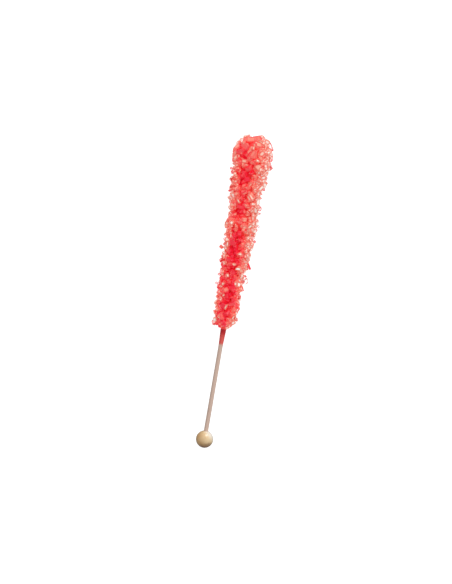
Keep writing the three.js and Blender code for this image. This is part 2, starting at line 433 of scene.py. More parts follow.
class Heap:
    """Crystals gathered into one mesh, with a tone for each facet."""

    def __init__(self):
        self.points, self.faces, self.tones, self.edges = [], [], [], []

    def add(self, size, middle, turn, tone, seed, index):
        """Adds one crystal, turned and moved to its middle."""
        points, edges = crystal_points(size, seed, index)
        first = len(self.points) * len(points)
        self.points.append(points @ np.array(turn.to_matrix()).T + np.array(middle))
        self.faces += [tuple(first + corner for corner in face) for face in CRYSTAL_FACES]
        facets = range(len(FACETS))
        draws = np.array([scatter(seed, index, Draw.FACET_TONE + facet) for facet in facets])
        # A few rims are painted white as glints.
        rim_tones = np.where(draws < PAINTED_RIM_GLINTS, PAINTED_RIM_GLINT_TONE, mix(*RIM_TONE, draws))
        facet_tones = FACET_SPREAD * (LEAST_SPREAD + max(tone, 0)) * (draws - 0.5)
        tones = tone + np.where(IS_RIM, rim_tones, facet_tones)
        self.tones += np.repeat(tones, FACET_SIZES).tolist()
        self.edges += edges.tolist()

    def lay(self, name, material):
        """Lays all of them as one piece of the candy."""
        points = np.vstack(self.points)
        sunk = [reach_at(y, math.atan2(z, x)) - math.hypot(x, z) for x, y, z in points]
        piece = lay_piece(
            name,
            points,
            self.faces,
            material,
            point_values={"edge": self.edges, "sunk": sunk},
            face_values={"tone": self.tones},
        )
        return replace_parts(piece, "candy")


# ---- How pale the crystals are: a tone of 0 is deep red and 1 is white ----

# The tone along the candy's width, by the distance to the right in mm at its head. Its paler sides
# and its palest right side are partly paler sugar and partly painted light that shows through the
# thin sugar and falls from the right.
TONES = (
    (-9.5, 1.05), (-6.5, 0.72), (-4.0, 0.4), (-1.5, 0.22), (1.0, 0.46), (4.0, 0.9), (7.5, 1.4),
)
PALEST_AMID = 0.45  # the palest tone straight above the dowel
LEAST_REACH = 1.0  # keeps a share of the reach in bounds at the tips
PALER_FROM = 105  # the station from which the candy turns paler towards its head
HEAD_PALER = 0.16
DEEPER_FROM = 125  # the station from which its middle turns a deeper red towards its foot
FOOT_DEEPER = 0.24
AMID_POWER = 3  # how far from the middle that goes: a higher power takes it nearer to the sides
DRIFT = 0.4  # how much the tone drifts over the candy
DRIFT_ACROSS, DRIFT_ALONG = 0.2, 0.12  # how fast, for each millimetre
RED_VARIED, PALE_VARIED = 0.1, 0.35  # how much deep red crystals differ, and what pale ones add
FOOT_VARIED = 1.4  # what the crystals at the foot's two sides add
PATCH_HEIGHT = 0.75  # of a patch's middle, as a share of the reach above the dowel
PATCH_CORE = 0.6  # the share of its radius within which its change is full


class Patch(NamedTuple):
    """A place on the candy's upper side that is paler than round it, or a deeper red."""

    station: float
    across: float  # to the right of the dowel
    radius: float
    change: float  # of the crystals' tone


PATCHES = (
    Patch(60.8, -5.2, 2.6, 0.7),
    Patch(65.2, 4.8, 2.0, 0.3),
    Patch(74.2, -0.2, 3.0, -0.15),
    Patch(81.1, -4.1, 1.6, 0.3),
    Patch(83.1, 6.6, 2.6, 0.5),
    Patch(87.7, -5.5, 1.6, 0.25),
    Patch(94.8, 4.3, 2.6, 0.4),
    Patch(94.8, -5.8, 2.2, 0.6),
    Patch(96.5, -1.5, 3.0, -0.2),
    Patch(105.0, -1.5, 4.5, -0.35),
    Patch(98.0, 7.0, 2.6, 0.4),
    Patch(107.0, 5.4, 2.5, 0.3),
    Patch(116.2, -4.9, 1.5, 0.4),
    Patch(117.5, 6.6, 2.6, 0.4),
    Patch(122.8, 6.6, 2.8, 0.5),
    Patch(127.2, 2.3, 2.2, -0.3),
    Patch(128.4, 6.6, 3.4, 0.5),
    Patch(132.8, -4.0, 2.6, -0.2),
    Patch(138.5, -1.4, 4.0, -0.35),
    Patch(143.1, 7.4, 2.2, 0.7),
    Patch(150.0, -9.0, 8.0, -0.6),
    Patch(151.6, 0.9, 1.8, 0.4),
    Patch(154.1, -6.0, 1.7, 0.7),
    Patch(156.4, 2.5, 2.4, 0.5),
    Patch(156.8, -2.4, 3.2, 0.3),
)


def patch_change(middle):
    """What the patches add to the tone at a point."""
    change = 0.0
    for patch in PATCHES:
        if abs(middle.y - patch.station) < patch.radius:
            reach = reach_at(patch.station, math.pi / 2)
            height = math.sqrt(max(reach**2 - patch.across**2, 0))
            spot = Vector((patch.across, patch.station, height * PATCH_HEIGHT))
            away = (middle - spot).length / patch.radius
            change += patch.change * progress(away, 1, PATCH_CORE)
    return change


def footward(station):
    """How near the candy's foot a station is, from 0 at its middle to 1."""
    return progress(station, DEEPER_FROM, CANDY_START)


def share_across(middle):
    """How far to the right a point lies, as a share of the candy's reach there: -1 is its left."""
    reach = reach_at(middle.y, 0 if middle.x > 0 else math.pi)
    return middle.x / max(reach, LEAST_REACH)


def tone_at(middle, seed, index):
    """The tone of a crystal by its middle: the candy is palest on its right side, partly by painted
    light from the right.
    """
    across = share_across(middle)
    outwards = abs(across)
    towards_foot = footward(middle.y)
    spot = Vector((middle.x * DRIFT_ACROSS, middle.y * DRIFT_ALONG, middle.z * DRIFT_ACROSS))
    tone = float(np.interp(across * HEAD.right, *zip(*TONES)))
    tone += noise.noise(spot) * DRIFT + patch_change(middle)
    tone += HEAD_PALER * progress(middle.y, PALER_FROM, CANDY_TIP)
    tone -= FOOT_DEEPER * towards_foot * (1 - min(outwards, 1) ** AMID_POWER)
    varied = RED_VARIED + PALE_VARIED * max(tone, 0) + FOOT_VARIED * towards_foot * outwards
    tone += varied * (scatter(seed, index, Draw.TONE) - 0.5)
    return min(tone, mix(PALEST_AMID, 1, 2 * outwards))


# ---- Spreading the crystals ----

CLEAR_SIDES = (0.75, 0.95)  # where across its reach the candy turns clear
FOOT_CLEARER = 0.12  # how much nearer to the middle that begins at its foot


def roughness_at(station, around):
    """How rough the candy is, from 0 on the smooth left side of its head to 1 elsewhere."""
    headward = progress(station, *SMOOTH_STATIONS)
    leftward = progress(-math.cos(around), *SMOOTH_LEFT)
    return 1 - headward * leftward


def heap_for(heaps, kind, middle, rough, index):
    """The heap of the red or the clear crystals: most clear ones stand at the candy's sides."""
    outwards = abs(share_across(middle)) + FOOT_CLEARER * footward(middle.y)
    share = mix(*kind.clear, progress(outwards, *CLEAR_SIDES)) * rough
    return heaps[scatter(kind.seed, index, Draw.CLEAR) < share]


def scatter_crystals(heaps, kind, count, head_lift):
    """Spreads one kind of crystal over the whole candy, turn by turn round the dowel."""
    seed = kind.seed
    golden_angle = math.pi * (3 - math.sqrt(5))
    for i, station in enumerate(even_stations(count)):
        around = i * golden_angle + drawn(STRAYING, seed, i, Draw.AROUND)
        outward = outward_at(station, around)
        rough = roughness_at(station, around)
        headward = progress(station, HEAD_FROM, HEAD_FROM + HEAD_LENGTH)
        larger = 1 + kind.head_larger * headward
        ranges = enumerate((kind.length, kind.width, kind.thickness))
        size = [larger * drawn(limits, seed, i, Draw.SIZE + k) for k, limits in ranges]
        heading = drawn(WHOLE_TURN, seed, i, Draw.HEADING)
        lift = drawn(kind.lift, seed, i, Draw.LIFT) * (head_lift if station > HEAD.station else 1)
        roll = drawn(HALF_TURN, seed, i, Draw.ROLL) * rough
        turn = crystal_turn(outward, lift * rough, heading, roll)
        passing = kind.spread * rough * drawn(EITHER_WAY, seed, i, Draw.SPREAD)
        inset = half_extent(size, turn, outward) - passing
        sunk = kind.depth * (1 + HEAD_SUNK * headward)
        surface_point = point_at(station, around, reach_at(station, around))
        middle = surface_point - outward * (inset + sunk)
        heap = heap_for(heaps, kind, middle, rough, i)
        heap.add(size, middle, turn, tone_at(middle, seed, i), seed, i)


def add_strays(heaps, count):
    """Adds the single crystals that stand out of the outline."""
    for k, stray in enumerate(STRAYS):
        around = math.radians(stray.around)
        outward = Vector((math.cos(around), 0, math.sin(around)))
        turn = crystal_turn(outward, stray.lift, STRAY_HEADING, STRAY_ROLL)
        middle = point_at(stray.station, around, stray.reach)
        heaps[stray.clear].add(stray.size, middle, turn, stray.tone, LARGE.seed, count + k)


def add_painted_glints(heap):
    """Adds the small crystals on the upper side that are painted pale as glints."""
    seed = GLINT_SEED
    for k, (station, across) in enumerate(GLINTS):
        reach = reach_at(station, 0 if across > 0 else math.pi)
        around = math.acos(across / reach)
        heading = drawn(HALF_TURN, seed, k, Draw.HEADING)
        turn = crystal_turn(outward_at(station, around), GLINT_LIFT, heading, 0)
        middle = point_at(station, around, reach - GLINT_DEPTH)
        sides = enumerate(GLINT_SIZE)
        size = [side * drawn(GLINT_SCALE, seed, k, Draw.GLINT_SIZE + i) for i, side in sides]
        heap.add(size, middle, turn, drawn(PAINTED_GLINT_TONES, seed, k, Draw.GLINT_TONE), seed, k)


# ---- Meshes, and laying them into the model ----


def laid_down(points):
    """Points in the dowel's frame, in millimetres, as points in the model's frame, in metres."""
    turn = np.array(Matrix.Rotation(LYING_ANGLE, 3, "X"))
    return points @ turn.T * MM + np.array(BALL_CENTRE)


def kept_in_box(points):
    """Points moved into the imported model's box, and just off the floor."""
    low = np.array((model_low.x, model_low.y, FLOOR_GAP))
    return np.clip(points, low, np.array(model_high))


def add_object(name, data):
    """Adds a new object to the scene."""
    made = bpy.data.objects.new(name, data)
    bpy.context.scene.collection.objects.link(made)
    return made


def lay_piece(
    name, points, faces, material, point_values=None, face_values=None, smooth=False
):
    """Makes a mesh piece that rides on the stick. It keeps each point's place on the dowel."""
    points = np.asarray(points, dtype=float)
    mesh = bpy.data.meshes.new(name)
    mesh.from_pydata(kept_in_box(laid_down(points)).tolist(), [], faces)
    place = mesh.attributes.new("place", "FLOAT_VECTOR", "POINT")
    place.data.foreach_set("vector", points.astype(np.float32).ravel())
    for domain, values in (("POINT", point_values), ("FACE", face_values)):
        for value_name, numbers in (values or {}).items():
            value = mesh.attributes.new(value_name, "FLOAT", domain)
            value.data.foreach_set("value", np.asarray(numbers, dtype=np.float32))
    mesh.polygons.foreach_set("use_smooth", [smooth] * len(mesh.polygons))
    mesh.materials.append(material)
    piece = add_object(name, mesh)
    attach(piece, "root")
    return piece


def even_round(start, end, rings, sides, radius_at):
    """Points of a round piece: rings at even stations, and a middle point at each end."""
    points = [(0, start, 0)]
    for ring in range(rings):
        station = mix(start, end, ring / (rings - 1))
        for side in range(sides):
            around = 2 * math.pi * side / sides
            points.append(point_at(station, around, radius_at(station, around)))
    return [*points, (0, end, 0)]


def ring_faces(rings, sides):
    """Faces that join rings of points, with a fan to the single first and last point."""
    faces = []
    for ring in range(rings - 1):
        for side in range(sides):
            beside = (side + 1) % sides
            near, far = 1 + ring * sides, 1 + (ring + 1) * sides
            faces.append((near + side, far + side, far + beside, near + beside))
    last = rings * sides + 1
    for side in range(sides):
        beside = (side + 1) % sides
        faces.append((0, 1 + side, 1 + beside))
        faces.append((last, last - sides + beside, last - sides + side))
    return faces


# ---- Shaders ----


class Value:
    """A shader value. Arithmetic on it adds the Math nodes that it takes."""

    def __init__(self, graph, socket):
        self.graph, self.socket = graph, socket

    def combined(self, operation, first, second):
        """The value that a Math node makes of two others."""
        return self.graph.node("ShaderNodeMath", {"operation": operation}, {0: first, 1: second})

    def __add__(self, other):
        return self.combined("ADD", self, other)

    def __radd__(self, other):
        return self.combined("ADD", other, self)

    def __sub__(self, other):
        return self.combined("SUBTRACT", self, other)

    def __rsub__(self, other):
        return self.combined("SUBTRACT", other, self)

    def __mul__(self, other):
        return self.combined("MULTIPLY", self, other)

    def __rmul__(self, other):
        return self.combined("MULTIPLY", other, self)

    def between(self, low, high):
        """The value brought from the span of 0 to 1 to that of two other numbers."""
        return self * (high - low) + low

    def either_way(self, most):
        """The same, to as much below 0 as above it."""
        return self.between(-most, most)

    def clamped(self):
        """The value kept from 0 to 1."""
        return self.graph.node("ShaderNodeClamp", {}, {"Value": self})

    def eased(self, start, end):
        """0 up to start and 1 from end on, with a smooth rise between."""
        return self.graph.node(
            "ShaderNodeMapRange",
            {"interpolation_type": "SMOOTHSTEP"},
            {"Value": self, "From Min": start, "From Max": end},
        )


class Graph:
    """The nodes of a new material or world."""

    def __init__(self, owner):
        self.owner = owner
        owner.use_nodes = True
        self.tree = owner.node_tree

    def node(self, kind, settings=None, inputs=None, output=0):
        """Adds a node, with its settings first and then its sockets, and returns an output."""
        made = self.tree.nodes.new(kind)
        for name, setting in (settings or {}).items():
            if name == "stops":
                self.set_stops(made.color_ramp, setting)
            else:
                setattr(made, name, setting)
        for key, given in (inputs or {}).items():
            self.feed(made.inputs[key], given)
        return Value(self, made.outputs[output])

    def set_stops(self, ramp, stops):
        """Sets a colour ramp's stops, each a position and a colour."""
        while len(ramp.elements) < len(stops):
            ramp.elements.new(1.0)
        for element, (position, colour) in zip(ramp.elements, stops):
            element.position, element.color = position, rgba(colour)

    def feed(self, socket, given):
        """Links a value to a socket, or sets a number or colour on it."""
        if isinstance(given, Value):
            self.tree.links.new(given.socket, socket)
        else:
            socket.default_value = given

    def attribute(self, name, output):
        """A value that the mesh carries at each point."""
        return self.node("ShaderNodeAttribute", {"attribute_name": name}, output=output)

    def noise(self, vector, scale, detail=2.0, roughness=0.5):
        """Soft noise from 0 to 1."""
        settings = {"Vector": vector, "Scale": scale, "Detail": detail, "Roughness": roughness}
        return self.node("ShaderNodeTexNoise", {}, settings, "Fac")

    def stretched(self, vector, scale):
        """A vector with each part scaled by its own number."""
        return self.node("ShaderNodeVectorMath", {"operation": "MULTIPLY"}, {0: vector, 1: scale})

    def part(self, vector, name):
        """The X, Y or Z of a vector."""
        return self.node("ShaderNodeSeparateXYZ", {}, {"Vector": vector}, name)

    def blend(self, share, first, second):
        """A colour that goes from the first to the second with a share from 0 to 1."""
        sockets = {"Factor": share}
        made = self.node("ShaderNodeMix", {"data_type": "RGBA"}, sockets, "Result")
        mixer = made.socket.node
        ends = [s for s in mixer.inputs if s.type == "RGBA"]
        for socket, colour in zip(ends, (first, second)):
            self.feed(socket, colour if isinstance(colour, Value) else rgba(colour))
        return Value(self, next(s for s in mixer.outputs if s.type == "RGBA"))

    def ramp(self, share, stops):
        """A colour from stops, each a position and a colour."""
        return self.node("ShaderNodeValToRGB", {"stops": stops}, {"Fac": share})

    def bump(self, height, distance):
        """A normal that follows a height, whose full step is a distance in millimetres."""
        return self.node("ShaderNodeBump", {}, {"Height": height, "Distance": distance * MM})

    def absorb(self, colour, density):
        """Lets light fade on its way through, towards a colour. The density is for a metre."""
        inside = {"Color": rgba(colour), "Density": density}
        volume = self.node("ShaderNodeVolumeAbsorption", {}, inside)
        self.feed(self.tree.nodes["Material Output"].inputs["Volume"], volume)

    def finish(self, **sockets):
        """Feeds the Principled shader, with underscores for the spaces in its sockets' names."""
        shader = self.tree.nodes["Principled BSDF"]
        for name, given in sockets.items():
            self.feed(shader.inputs[name.replace("_", " ")], given)
        return self.owner


def surface(name):
    """The nodes of a new material, round its Principled shader."""
    return Graph(bpy.data.materials.new(name))


# ---- Materials: noise scales are for a millimetre, and the floor's for a metre ----

STEP_HEIGHT = 0.03  # of the growth steps on the crystals' facets, in mm

COLOURLESS = (0.99, 0.98, 0.96)
PASSED_LIGHT = (1.0, 0.05, 0.0)  # what white light turns to on its way through much sugar
REFRACTION = 1.4
CLEAR_RIM = (0.7, 0.95)  # where a clear facet's red edge begins and is full, by its "edge"
CLEAR_RIM_STRENGTH = (0.7, 1.3)  # which differs from place to place
BLUSH_TONES = (0.3, 0.9)  # the tones between which a clear crystal's blush fades out
FAINT_TONES = (1.4, 1.8)  # and those between which its edges grow fainter
FAINTER = 0.6


def clear_sugar(edge, blush, density):
    """Clear sugar that reddens with depth, with thin red edges and a blush on some facets."""
    graph = surface("clear_sugar")
    place = graph.attribute("place", "Vector")
    steps = graph.noise(place, scale=1.6, detail=3.0)
    cloud = graph.noise(place, scale=0.9, detail=3.0)
    rim = graph.attribute("edge", "Fac").eased(*CLEAR_RIM)
    tone = graph.attribute("tone", "Fac")
    facet = graph.blend(tone.eased(*BLUSH_TONES), blush, COLOURLESS)
    strength = cloud.between(*CLEAR_RIM_STRENGTH) * (1 - tone.eased(*FAINT_TONES) * FAINTER)
    graph.absorb(PASSED_LIGHT, density)
    return graph.finish(
        Base_Color=graph.blend(rim * strength, facet, edge),
        Roughness=steps.between(0.02, 0.12),
        Normal=graph.bump(steps, STEP_HEIGHT),
        IOR=REFRACTION,
        Transmission_Weight=1.0,
    )


BODY_TONES = (0.0, 0.25, 0.55, 0.8, 1.0)  # of the deep red, red, salmon, pale and palest sugar
PALEST = (0.975, 0.90, 0.84)
DULL_RED = (0.67, 0.135, 0.12)
DULL_TONES = (0.4, 0.9)  # the tones from which facets have dull red edges, and have them in full
DULLEST = 0.38
BODY_RIM = (0.45, 1.0)  # where a facet's redder edge begins and is full, by its "edge"
RIM_DEEPER = (0.3, 0.6)  # the share of its tone that it loses there, on deep red and white sugar
MIDDLE_PALER = 1.06  # what its tone is multiplied by amid the facet
SHADED_DEPTHS = (0.3, 2.2)  # mm below the reach, where the shade of the crystals begins and is full
SHADE_DEEPER = 0.15  # what it takes from the tone
TONE_CLOUDS, TONE_GRIT = 0.125, 0.06  # how far the tone goes either way, broadly and finely
PAINTED_CREVICE_GLOW = 0.05  # a painted red glow in the shaded hollows, for the red light that comes back from between the crystals


def body_sugar(deep, red, salmon, pale):
    """Sugar too deep to see through: each facet has its own tone, redder along its edges. It has
    painted shade and a painted red glow in its hollows.
    """
    graph = surface("body_sugar")
    place = graph.attribute("place", "Vector")
    steps = graph.noise(place, scale=1.8, detail=3.0)
    cloud = graph.noise(place, scale=0.5, detail=3.0)
    fine = graph.noise(place, scale=2.5)
    rim = graph.attribute("edge", "Fac").eased(*BODY_RIM)
    shade = graph.attribute("sunk", "Fac").eased(*SHADED_DEPTHS)
    shaded = graph.attribute("tone", "Fac") - shade * SHADE_DEEPER
    tone = shaded + cloud.either_way(TONE_CLOUDS) + fine.either_way(TONE_GRIT)
    outlined = tone * (MIDDLE_PALER - rim * tone.clamped().between(*RIM_DEEPER))
    facet = graph.ramp(outlined, tuple(zip(BODY_TONES, (deep, red, salmon, pale, PALEST))))
    dull_edge = rim * tone.eased(*DULL_TONES) * DULLEST
    return graph.finish(
        Base_Color=graph.blend(dull_edge, facet, DULL_RED),
        # A painted glow in the shaded hollows.
        Emission_Color=graph.blend(shade, BLACK, deep),
        Emission_Strength=PAINTED_CREVICE_GLOW,
        Roughness=steps.between(0.1, 0.3),
        Normal=graph.bump(steps, STEP_HEIGHT),
        Specular_IOR_Level=0.3,
    )


# Where the core's bands change, in mm to the right of the dowel, and how far that wanders.
CORE_RED = (-3.5, 0.0)
CORE_PALE = (0.5, 4.0)
CORE_CLOUDS, CORE_GRIT = 2.5, 1.0


def core_sugar(deep, red, pale):
    """The fused middle of the candy: a deep red band along its left, and paler on its right, partly
    by painted light from the right.
    """
    graph = surface("core_sugar")
    place = graph.attribute("place", "Vector")
    cloud = graph.noise(place, scale=0.35, detail=3.0)
    grit = graph.noise(place, scale=1.8, detail=3.0)
    wander = cloud.either_way(CORE_CLOUDS) + grit.either_way(CORE_GRIT)
    across = graph.part(place, "X") + wander
    banded = graph.blend(across.eased(*CORE_RED), deep, red)
    return graph.finish(
        Base_Color=graph.blend(across.eased(*CORE_PALE), banded, pale),
        Roughness=grit.between(0.4, 0.6),
        Specular_IOR_Level=0.0,
    )


FIBRES = (3.0, 0.12, 3.0)  # how the dowel's grain is stretched along it
FIBRE_HEIGHT = 0.12
# Stations where the red colour begins and is full, and the same for the deeper red.
STAIN = (STAIN_START - 0.6, STAIN_START + 1.6)
DEEP_STAIN = (STAIN_START + 3.0, CANDY_START)
STAIN_WANDER = 1.5  # of both, in mm either way


def dowel_wood(bare, dark, stain, deep_stain):
    """Pale birch with long fibres, stained red where the syrup has run down it."""
    graph = surface("dowel_wood")
    place = graph.attribute("place", "Vector")
    fibres = graph.noise(graph.stretched(place, FIBRES), scale=1.5, detail=4.0, roughness=0.6)
    wood = graph.blend(fibres.between(-0.2, 1.2).clamped(), dark, bare)
    wander = graph.noise(place, scale=0.9).either_way(STAIN_WANDER)
    station = graph.part(place, "Y") + wander
    reddened = graph.blend(station.eased(*STAIN), wood, stain)
    return graph.finish(
        Base_Color=graph.blend(station.eased(*DEEP_STAIN), reddened, deep_stain),
        Roughness=fibres.between(0.75, 0.55),
        Normal=graph.bump(fibres, FIBRE_HEIGHT),
    )


BALL_CLOUDS = (0.6, 0.9, 0.9)  # how the ball's grain is stretched across the stick
BALL_GRAIN = (0.5, 3.0, 3.0)
# Where the ball's wood and its painted light and shade change, in mm from its centre, and how far
# its clouds shift that.
# Painted light and shade: the wood is painted paler towards its right and its head, and darker away
# from them. The clouds make the edge wander.
PAINTED_LIGHT_RIGHTWARD, RIGHTWARD_SHIFT = (-5.0, 2.5), 4.5
PAINTED_LIGHT_HEADWARD, HEADWARD_SHIFT = (-5.0, 0.0), 1.5
# Painted shade: the ball is painted darker and browner towards its far end, where shade falls on
# it.
PAINTED_SHADE_ENDS, PAINTED_SHADE_SHIFT = (-4.4, -1.2), 1.5
PAINTED_SHADE_SLANT = 0.3  # how much nearer to the head the painted shade goes, for each mm to the right
# A painted sheen: the ball is painted paler where it faces the bright side of the room.
PAINTED_SHEEN_SPAN, PAINTED_SHEEN_SHIFT = (2.5, 6.5), 1.0  # by how far right and headwards taken together
PAINTED_LIGHT_SHARE, GRAIN_SHARE = 0.9, 0.2  # of how pale the wood is, by the painted light and by its grain
DEEPEST_PAINTED_SHADE = 0.9


def ball_wood(pale, dark, painted_sheen, painted_shade):
    """Turned and polished wood with faint grain. It is painted lighter towards its right and its
    head, with a painted sheen on its right, and painted shade makes its far end darker and browner.
    """
    graph = surface("ball_wood")
    place = graph.attribute("place", "Vector")
    right, ahead = graph.part(place, "X"), graph.part(place, "Y")
    clouds = graph.stretched(place, BALL_CLOUDS)
    cloud = graph.noise(clouds, scale=0.45, detail=3.0, roughness=0.55)
    grain = graph.noise(graph.stretched(place, BALL_GRAIN), scale=1.5)
    # Painted light and shade: paler to the right and towards the head.
    painted_light_right = (right + cloud.either_way(RIGHTWARD_SHIFT)).eased(*PAINTED_LIGHT_RIGHTWARD)
    painted_light_ahead = (ahead + cloud.either_way(HEADWARD_SHIFT)).eased(*PAINTED_LIGHT_HEADWARD)
    grain_and_painted_light = painted_light_right * painted_light_ahead * PAINTED_LIGHT_SHARE + grain * GRAIN_SHARE
    wood_and_painted_light = graph.blend(grain_and_painted_light.clamped(), dark, pale)
    # A painted sheen on the right, towards the head.
    painted_sheen_mask = (right + ahead + cloud.either_way(PAINTED_SHEEN_SHIFT)).eased(*PAINTED_SHEEN_SPAN)
    # Painted shade: darker and browner towards the far end.
    from_end = ahead - right * PAINTED_SHADE_SLANT + cloud.either_way(PAINTED_SHADE_SHIFT)
    painted_shade_mask = 1 - from_end.eased(*PAINTED_SHADE_ENDS)
    return graph.finish(
        Base_Color=graph.blend(painted_shade_mask * DEEPEST_PAINTED_SHADE, graph.blend(painted_sheen_mask, wood_and_painted_light, painted_sheen), painted_shade),
        Roughness=grain.between(0.3, 0.42),
        Coat_Weight=1.0,
        Coat_Roughness=0.15,
    )


def floor_paper(colour, shade, glow):
    """Plain white paper on a light table, with hardly any unevenness."""
    graph = surface("floor_paper")
    place = graph.node("ShaderNodeTexCoord", output="Object")
    return graph.finish(
        Base_Color=graph.blend(graph.noise(place, scale=12.0), shade, colour),
        Roughness=0.9,
        Emission_Color=rgba(WHITE),
        Emission_Strength=glow,
    )


# ---- Settings ----


class BallSettings(bpy.types.PropertyGroup):
    """The turned ball at the stick's end."""

    hole_rim: FloatProperty(
        name="Hole Rim",
        description="Width of the chamfer round the dowel's hole",
        unit="LENGTH",
        default=0.2 * MM,
    )
    pale: FloatVectorProperty(
        name="Pale Wood",
        description="Colour of the ball's pale wood",
        subtype="COLOR",
        default=linear(238, 208, 160),
    )
    # Shown in the darker grain, and also on the ball's left and far end, where it stands for
    # painted shade.
    dark: FloatVectorProperty(
        name="Dark Grain and Painted Shade",
        description="Colour of the ball's darker grain",
        subtype="COLOR",
        default=linear(210, 162, 102),
    )
    # The colour of the painted sheen on the ball's right side.
    painted_sheen: FloatVectorProperty(
        name="Painted Sheen",
        description="Colour of the ball's palest side",
        subtype="COLOR",
        default=linear(255, 246, 232),
    )
    # The colour of the painted shade at the ball's far end.
    painted_shade: FloatVectorProperty(
        name="Painted Shade End",
        description="Colour of the ball's far end",
        subtype="COLOR",
        default=linear(124, 70, 30),
    )


class DowelSettings(bpy.types.PropertyGroup):
    """The thin wooden dowel and the syrup on it."""

    bare: FloatVectorProperty(
        name="Bare Wood",
        description="Colour of the dowel's wood",
        subtype="COLOR",
        default=linear(232, 205, 188),
    )
    dark: FloatVectorProperty(
        name="Dark Fibres",
        description="Colour of the wood's dark fibres",
        subtype="COLOR",
        default=linear(196, 164, 148),
    )
    stain: FloatVectorProperty(
        name="Stain",
        description="Colour where syrup has soaked in",
        subtype="COLOR",
        default=linear(232, 92, 84),
    )
    deep_stain: FloatVectorProperty(
        name="Deep Stain",
        description="Colour next to the candy",
        subtype="COLOR",
        default=linear(196, 16, 28),
    )
    waver: FloatProperty(
        name="Waver",
        description="How uneven the dowel's side is",
        unit="LENGTH",
        default=0.025 * MM,
    )


class CandySettings(bpy.types.PropertyGroup):
    """The red rock candy."""

    large_count: IntProperty(name="Large Crystals", description="How many large ones", default=300)
    inner_count: IntProperty(name="Inner Crystals", description="How many below them", default=740)
    small_count: IntProperty(name="Small Crystals", description="How many small ones", default=320)
    head_lift: FloatProperty(
        name="Head Lift",
        description="The share of their lift that crystals keep on the head",
        subtype="FACTOR",
        min=0.0,
        max=1.0,
        default=0.3,
    )
    core_left: FloatProperty(
        name="Core Depth Left",
        description="Depth of the core below the crystals' outer ends on the left",
        unit="LENGTH",
        default=3.2 * MM,
    )
    core_right: FloatProperty(
        name="Core Depth Right",
        description="Depth of the core below the crystals' outer ends on the right",
        unit="LENGTH",
        default=4.4 * MM,
    )
    deep: FloatVectorProperty(
        name="Deep Red",
        description="The sugar's deepest red",
        subtype="COLOR",
        default=(0.90, 0.016, 0.046),
    )
    red: FloatVectorProperty(
        name="Red",
        description="The sugar's usual red",
        subtype="COLOR",
        default=(0.965, 0.09, 0.095),
    )
    salmon: FloatVectorProperty(
        name="Salmon",
        description="The paler sugar, and the right side of the core",
        subtype="COLOR",
        default=(0.98, 0.37, 0.25),
    )
    pale: FloatVectorProperty(
        name="Pale",
        description="The pale sugar",
        subtype="COLOR",
        default=(0.98, 0.74, 0.61),
    )
    edge: FloatVectorProperty(
        name="Clear Edges",
        description="Tint along clear crystals' edges",
        subtype="COLOR",
        default=(0.76, 0.06, 0.075),
    )
    blush: FloatVectorProperty(
        name="Clear Blush",
        description="Tint of clear crystals' redder facets",
        subtype="COLOR",
        default=(0.97, 0.74, 0.66),
    )
    clear_density: FloatProperty(
        name="Clear Density",
        description="How fast light reddens on its way through clear sugar, for a metre",
        default=25.0,
    )


class StageSettings(bpy.types.PropertyGroup):
    """The floor, the lights and the camera."""

    lens: FloatProperty(
        name="Lens",
        description="The camera's focal length",
        unit="CAMERA",
        default=100.0,
    )
    room_bright: FloatProperty(
        name="Bright Side",
        description="Brightness of the room on the side of the candy's head",
        default=0.98,
    )
    room_dark: FloatProperty(
        name="Dark Side",
        description="Brightness of the room on the opposite side",
        default=0.15,
    )
    fill: FloatProperty(
        name="Sugar Fill",
        description="Strength of the light on the sugar from the room's dark side",
        default=0.95,
    )
    glow: FloatProperty(
        name="Floor Glow",
        description="Strength of the light that the floor gives",
        default=0.95,
    )
    key: FloatProperty(
        name="Key Light",
        description="Brightness of the key softbox's face",
        default=5.0,
    )
    wood_key: FloatProperty(
        name="Wood Light",
        description="Brightness of the wood's softbox's face",
        default=5.0,
    )


# ---- Operators ----

BALL_SIDES = 72
BALL_RINGS = 48
HOLE_GAP = 0.03  # between the ball and the dowel
RIM_DEPTH = 0.5  # of the chamfer round the hole, as a share of its width


def ball_profile(rim):
    """Half of the ball's outline from its far pole into its hole, as (station, radius) points."""
    hole = DOWEL_RADIUS + HOLE_GAP
    mouth = math.asin((hole + rim) / BALL_RADIUS)
    points = []
    for ring in range(BALL_RINGS):
        angle = mix(0, math.pi - mouth, (ring + 1) / BALL_RINGS)
        points.append((-BALL_RADIUS * math.cos(angle), BALL_RADIUS * math.sin(angle)))
    brim = points[-1][0]
    return [*points, (brim - rim * RIM_DEPTH, hole), (SOCKET_START, hole)]


class ROCKCANDY_OT_turn_ball(bpy.types.Operator):
    """Turn the wooden ball that the stick is held by"""

    bl_idname = "rockcandy.turn_ball"
    bl_label = "Turn Ball"

    def execute(self, context):
        settings = context.scene.rock_candy_ball
        profile = ball_profile(settings.hole_rim / MM)
        points = [(0, -BALL_RADIUS, 0)]
        for station, radius in profile:
            for side in range(BALL_SIDES):
                points.append(point_at(station, 2 * math.pi * side / BALL_SIDES, radius))
        points.append((0, SOCKET_START, 0))
        faces = ring_faces(len(profile), BALL_SIDES)
        material = ball_wood(settings.pale, settings.dark, settings.painted_sheen, settings.painted_shade)
        ball = lay_piece("turned_ball", points, faces, material, smooth=True)
        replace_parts(ball, "ball")
        return {"FINISHED"}


DOWEL_SIDES = 32
DOWEL_RINGS = 180
SYRUP_FILM = 0.35  # thickness of the dried syrup on the dowel, next to the candy
WAVER_ROUND = 2  # how fast the dowel's radius wavers, round it
WAVER_ALONG = 0.06  # and along it, for each millimetre


def dowel_radius_at(station, around, waver):
    """The dowel's radius, a little uneven along its fibres."""
    wavering = noise.noise(point_at(station * WAVER_ALONG, around, WAVER_ROUND))
    wetted = progress(station, STAIN_START, CANDY_START)
    return DOWEL_RADIUS - waver + waver * wavering + SYRUP_FILM * wetted


